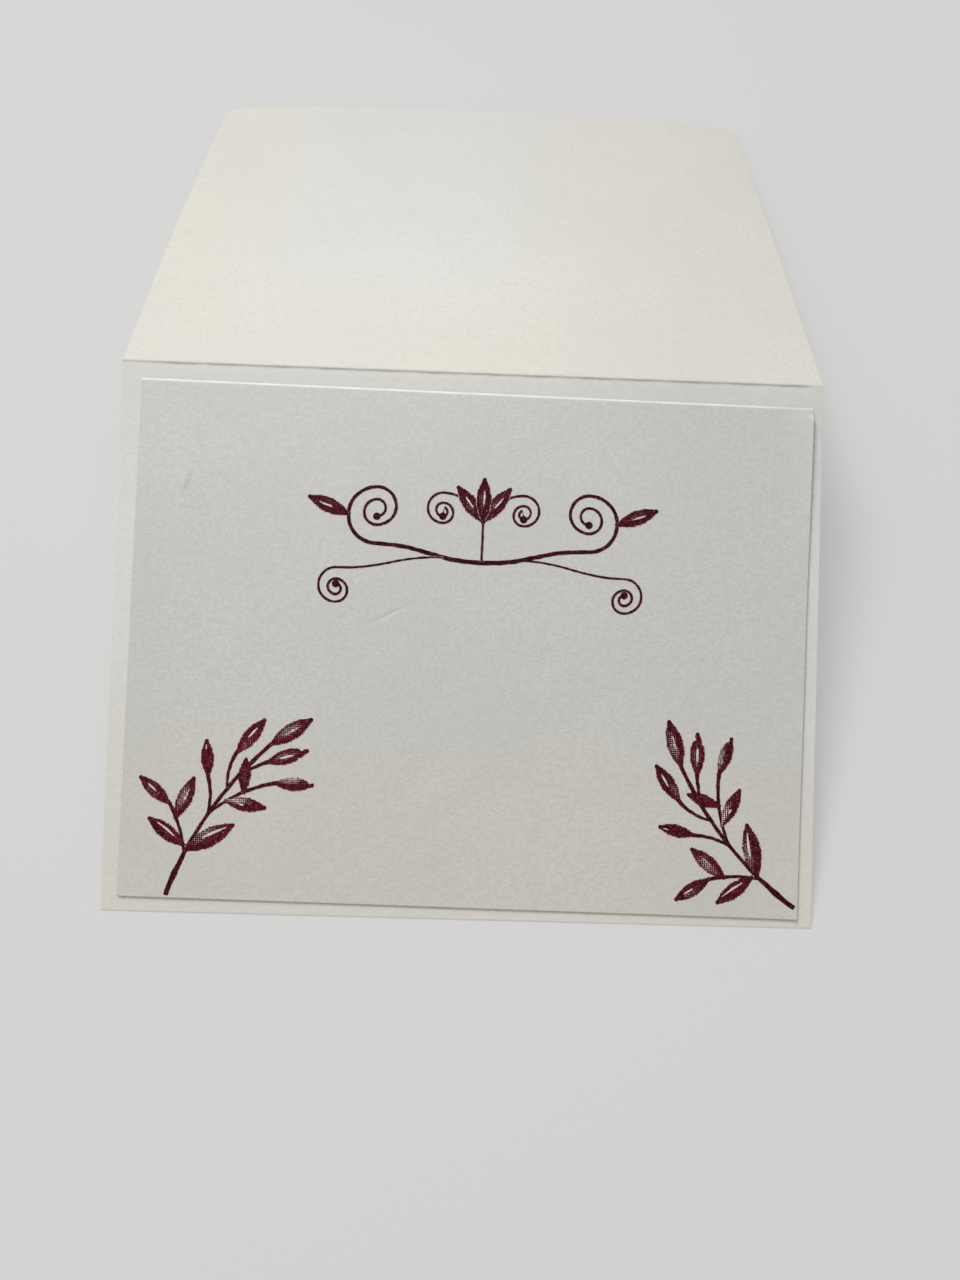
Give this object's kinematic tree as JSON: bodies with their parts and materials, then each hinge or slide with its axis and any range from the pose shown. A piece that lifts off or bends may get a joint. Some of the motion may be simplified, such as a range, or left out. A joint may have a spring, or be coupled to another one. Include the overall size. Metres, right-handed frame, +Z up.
{
  "type": "greeting card",
  "caption": "Top-fold greeting card of white card stock, opened back into a low tent, with a glued-on liner sheet stamped with leafy corner sprigs and a pen flourish.",
  "frame": {"origin": "on the surface that the card rests on, midway along the fold and midway between the two free edges", "axes": "+X along the fold, +Y from the lined panel to the cover, +Z up from the surface it rests on"},
  "size_m": [0.1396, 0.208, 0.0307],
  "materials": {
    "card_stock": "uncoated white card stock, matt, fine tooth",
    "liner_stock": "uncoated white card stock, matt, fine tooth",
    "adhesive": "clear double-sided tape",
    "ink": "burgundy stamped ink, matt"
  },
  "bodies": {
    "root": {"card_base": "card_stock", "liner": "liner_stock", "adhesive_strips": "adhesive", "left_sprig_print": "ink", "right_sprig_print": "ink", "flourish_print": "ink"}
  },
  "joints": []
}
